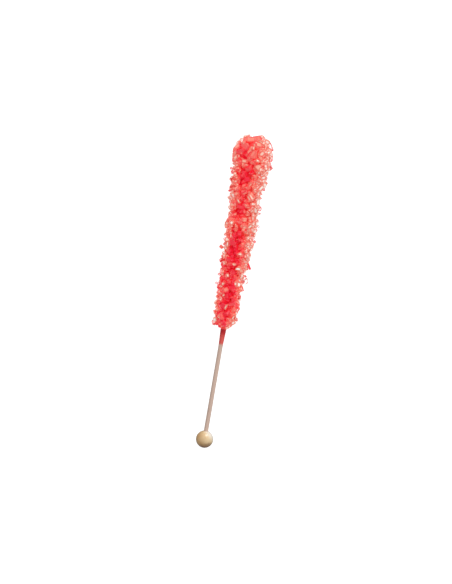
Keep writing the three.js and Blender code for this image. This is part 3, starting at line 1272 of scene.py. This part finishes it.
class ROCKCANDY_OT_make_dowel(bpy.types.Operator):
    """Make the thin dowel, from inside the ball to inside the candy"""

    bl_idname = "rockcandy.make_dowel"
    bl_label = "Make Dowel"

    def execute(self, context):
        settings = context.scene.rock_candy_dowel
        waver = settings.waver / MM
        points = even_round(
            DOWEL_START,
            DOWEL_END,
            DOWEL_RINGS,
            DOWEL_SIDES,
            lambda station, around: dowel_radius_at(station, around, waver),
        )
        faces = ring_faces(DOWEL_RINGS, DOWEL_SIDES)
        material = dowel_wood(settings.bare, settings.dark, settings.stain, settings.deep_stain)
        dowel = lay_piece("dowel_stick", points, faces, material, smooth=True)
        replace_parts(dowel, "dowel")
        return {"FINISHED"}


CORE_SIDES = 72
CORE_RINGS = 200
CORE_LEAST = 1.5  # its radius at its ends, where it lies round the dowel
CORE_INSET = 0.6  # of its start from the candy's
LUMPS_ROUND = 3  # how fast its lumps change round it
LUMPS_ALONG = 0.6  # and along it, for each millimetre
LUMPS = ((1.0, 0.9), (2.7, 0.36))  # the coarse and the fine ones: how fine, and how high


def core_radius_at(station, around, left_depth, right_depth):
    """The core's radius: deeper below the reach on the right, and lumpy like fused crystals."""
    depth = mix(left_depth, right_depth, (1 + math.cos(around)) / 2)
    spot = point_at(station * LUMPS_ALONG, around, LUMPS_ROUND)
    lump = sum(height * noise.noise(spot * fineness) for fineness, height in LUMPS)
    return max(CORE_LEAST, reach_at(station, around) - depth + lump)


class ROCKCANDY_OT_fuse_core(bpy.types.Operator):
    """Make the fused red core that the crystals grow from"""

    bl_idname = "rockcandy.fuse_core"
    bl_label = "Fuse Core"

    def execute(self, context):
        settings = context.scene.rock_candy
        depths = settings.core_left / MM, settings.core_right / MM
        points = even_round(
            CANDY_START + CORE_INSET,
            CANDY_TIP - depths[0],
            CORE_RINGS,
            CORE_SIDES,
            lambda station, around: core_radius_at(station, around, *depths),
        )
        faces = ring_faces(CORE_RINGS, CORE_SIDES)
        material = core_sugar(settings.deep, settings.red, settings.salmon)
        core = lay_piece("candy_core", points, faces, material, smooth=True)
        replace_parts(core, "candy")
        return {"FINISHED"}


class ROCKCANDY_OT_grow_crystals(bpy.types.Operator):
    """Grow the sugar crystals over the core, one piece for each kind of sugar"""

    bl_idname = "rockcandy.grow_crystals"
    bl_label = "Grow Crystals"

    def execute(self, context):
        settings = context.scene.rock_candy
        body = body_sugar(settings.deep, settings.red, settings.salmon, settings.pale)
        clear = clear_sugar(settings.edge, settings.blush, settings.clear_density)
        heaps = Heap(), Heap()
        scatter_crystals(heaps, LARGE, settings.large_count, settings.head_lift)
        add_strays(heaps, settings.large_count)
        add_painted_glints(heaps[0])
        scatter_crystals(heaps, INNER, settings.inner_count, settings.head_lift)
        scatter_crystals(heaps, SMALL, settings.small_count, settings.head_lift)
        for heap, name, material in zip(heaps, ("red_crystals", "clear_crystals"), (body, clear)):
            heap.lay(name, material)
        return {"FINISHED"}


WOODEN = ("turned_ball", "dowel_stick")
SUGARY = ("candy_core", "red_crystals", "clear_crystals")
FLOOR_HALF = 1.5  # half of the floor's width, in metres
PAPER, PAPER_SHADE = (0.41, 0.41, 0.41), (0.39, 0.39, 0.39)
BRIGHT_SIDE = Vector((0.3, 0.85, 0.43))  # of the room
FILL_WAY = Vector((0.3, 0.85, -0.43))  # that the fill's light goes, from the dark side
FILL_SPREAD = math.radians(150)
KEY_SIDE = Vector((0.28, 0.72, 0.66))  # towards the key softbox
KEY_SIZE, WOOD_KEY_SIZE = 0.18, 0.25  # of the softboxes, in metres
SOFTBOX_DISTANCE = 0.6  # from the model's origin, in metres
LIGHT_BOUNCES = 64  # enough to pass through many clear crystals

FRAME_WIDTH, FRAME_HEIGHT = 452, 584  # in pixels
PIXEL = 0.5175  # millimetres of the stick that one pixel of the frame shows
BALL_PIXEL = (204.5, 439.6)  # where the ball's centre stands in the frame
LEAN = math.radians(9.75)  # of the stick, clockwise in the frame
SENSOR = 36.0  # the width of the camera's film, in mm
SIGHT_HEIGHT = 7.0  # of the plane that the camera's scale holds for, above the floor


class ROCKCANDY_OT_set_stage(bpy.types.Operator):
    """Set up the floor, the softboxes, the room and the camera"""

    bl_idname = "rockcandy.set_stage"
    bl_label = "Set Stage"

    def execute(self, context):
        settings = context.scene.rock_candy_stage
        self.lay_floor(settings.glow)
        self.light_room(context, settings)
        self.hang_softbox("key_softbox", KEY_SIDE, KEY_SIZE, settings.key)
        wood_softbox = self.hang_softbox(
            "wood_softbox", BRIGHT_SIDE, WOOD_KEY_SIZE, settings.wood_key
        )
        self.light_only(wood_softbox, WOODEN)
        self.fill_sugar(settings.fill)
        self.place_camera(context, settings.lens)
        context.scene.view_settings.view_transform = "Standard"
        context.scene.cycles.blur_glossy = 0.0
        for kind in ("max", "transmission", "glossy", "diffuse"):
            setattr(context.scene.cycles, kind + "_bounces", LIGHT_BOUNCES)
        return {"FINISHED"}

    def lay_floor(self, glow):
        """Lays the pale floor under the stick. Its glow lights the sugar, and not the wood."""
        half = FLOOR_HALF
        mesh = bpy.data.meshes.new("floor")
        corners = [(-half, -half, 0), (half, -half, 0), (half, half, 0), (-half, half, 0)]
        mesh.from_pydata(corners, [], [(0, 1, 2, 3)])
        mesh.materials.append(floor_paper(PAPER, PAPER_SHADE, glow))
        floor = add_object("floor", mesh)
        unlit = self.collected("not_lit_by_floor", WOODEN)
        for listed in unlit.collection_objects:
            listed.light_linking.link_state = "EXCLUDE"
        floor.light_linking.receiver_collection = unlit

    def light_room(self, context, settings):
        """Fills the room with soft light, brightest from beyond the candy's head."""
        world = bpy.data.worlds.new("studio_room")
        graph = Graph(world)
        facing = {0: graph.node("ShaderNodeTexCoord", output="Generated"), 1: BRIGHT_SIDE}
        towards = graph.node("ShaderNodeVectorMath", {"operation": "DOT_PRODUCT"}, facing, "Value")
        sides = {"From Min": -1.0, "To Min": settings.room_dark, "To Max": settings.room_bright}
        strength = graph.node("ShaderNodeMapRange", {}, {"Value": towards, **sides})
        background = graph.tree.nodes["Background"].inputs
        graph.feed(background["Strength"], strength)
        graph.feed(background["Color"], rgba(WHITE))
        context.scene.world = world

    def fill_sugar(self, strength):
        """Lights the sugar alone from the dark side, as light that passes through it does."""
        light = bpy.data.lights.new("sugar_fill", "SUN")
        light.angle = FILL_SPREAD
        light.energy = strength
        fill = add_object("sugar_fill", light)
        self.aim(fill, FILL_WAY)
        self.light_only(fill, SUGARY)

    def hang_softbox(self, name, side, size, brightness):
        """Hangs a square softbox that faces the stick, with a face of the given brightness."""
        light = bpy.data.lights.new(name, "AREA")
        light.shape = "SQUARE"
        light.size = size
        light.energy = brightness * size * size * math.pi
        softbox = add_object(name, light)
        softbox.location = side.normalized() * SOFTBOX_DISTANCE
        self.aim(softbox, -softbox.location)
        return softbox

    def aim(self, lamp, way):
        """Turns a lamp so that its light goes a given way."""
        lamp.rotation_mode = "QUATERNION"
        lamp.rotation_quaternion = way.to_track_quat("-Z", "Y")

    def collected(self, name, pieces):
        """A new collection of pieces, for a light to take or to leave out."""
        collection = bpy.data.collections.new(name)
        for piece in pieces:
            collection.objects.link(bpy.data.objects[piece])
        return collection

    def light_only(self, lamp, pieces):
        """Keeps a lamp's light to the named pieces."""
        lamp.light_linking.receiver_collection = self.collected("lit_by_" + lamp.name, pieces)

    def place_camera(self, context, lens):
        """Looks straight down on the stick, which leans in the frame."""
        rightwards = Vector((math.cos(LEAN), math.sin(LEAN), 0))
        upwards = Vector((-math.sin(LEAN), math.cos(LEAN), 0))
        across = (FRAME_WIDTH / 2 - BALL_PIXEL[0]) * PIXEL * MM
        up = (BALL_PIXEL[1] - FRAME_HEIGHT / 2) * PIXEL * MM
        place = BALL_CENTRE + rightwards * across + upwards * up
        place.z = SIGHT_HEIGHT * MM + lens * FRAME_HEIGHT * PIXEL / SENSOR * MM
        data = bpy.data.cameras.new("camera")
        data.lens = lens
        data.sensor_width = SENSOR
        camera = add_object("camera", data)
        camera.matrix_world = Matrix((
            (rightwards.x, upwards.x, 0, place.x),
            (rightwards.y, upwards.y, 0, place.y),
            (0, 0, 1, place.z),
            (0, 0, 0, 1),
        ))
        context.scene.camera = camera


# ---- Panel and registration ----

OPERATORS = (
    ROCKCANDY_OT_turn_ball,
    ROCKCANDY_OT_make_dowel,
    ROCKCANDY_OT_fuse_core,
    ROCKCANDY_OT_grow_crystals,
    ROCKCANDY_OT_set_stage,
)
SETTINGS = {
    "rock_candy_ball": BallSettings,
    "rock_candy_dowel": DowelSettings,
    "rock_candy": CandySettings,
    "rock_candy_stage": StageSettings,
}


class ROCKCANDY_PT_tools(bpy.types.Panel):
    """The sidebar's list of what can be built, with the settings"""

    bl_idname = "ROCKCANDY_PT_tools"
    bl_label = "Rock Candy Stick"
    bl_space_type = "VIEW_3D"
    bl_region_type = "UI"
    bl_category = "Rock Candy"

    def draw(self, context):
        for operator in OPERATORS:
            self.layout.operator(operator.bl_idname)
        for name, settings in SETTINGS.items():
            box = self.layout.box()
            for setting in settings.__annotations__:
                box.prop(getattr(context.scene, name), setting)


CLASSES = (*SETTINGS.values(), *OPERATORS, ROCKCANDY_PT_tools)


def register():
    """Adds the classes, and the settings of a scene."""
    for cls in CLASSES:
        bpy.utils.register_class(cls)
    for name, settings in SETTINGS.items():
        setattr(bpy.types.Scene, name, PointerProperty(type=settings))


def unregister():
    """Takes them out again."""
    for name in SETTINGS:
        delattr(bpy.types.Scene, name)
    for cls in reversed(CLASSES):
        bpy.utils.unregister_class(cls)


def main():
    """Builds every piece and the stage."""
    register()
    bpy.ops.rockcandy.turn_ball()
    bpy.ops.rockcandy.make_dowel()
    bpy.ops.rockcandy.fuse_core()
    bpy.ops.rockcandy.grow_crystals()
    bpy.ops.rockcandy.set_stage()
    bpy.context.view_layer.update()


if __name__ == "__main__":
    main()
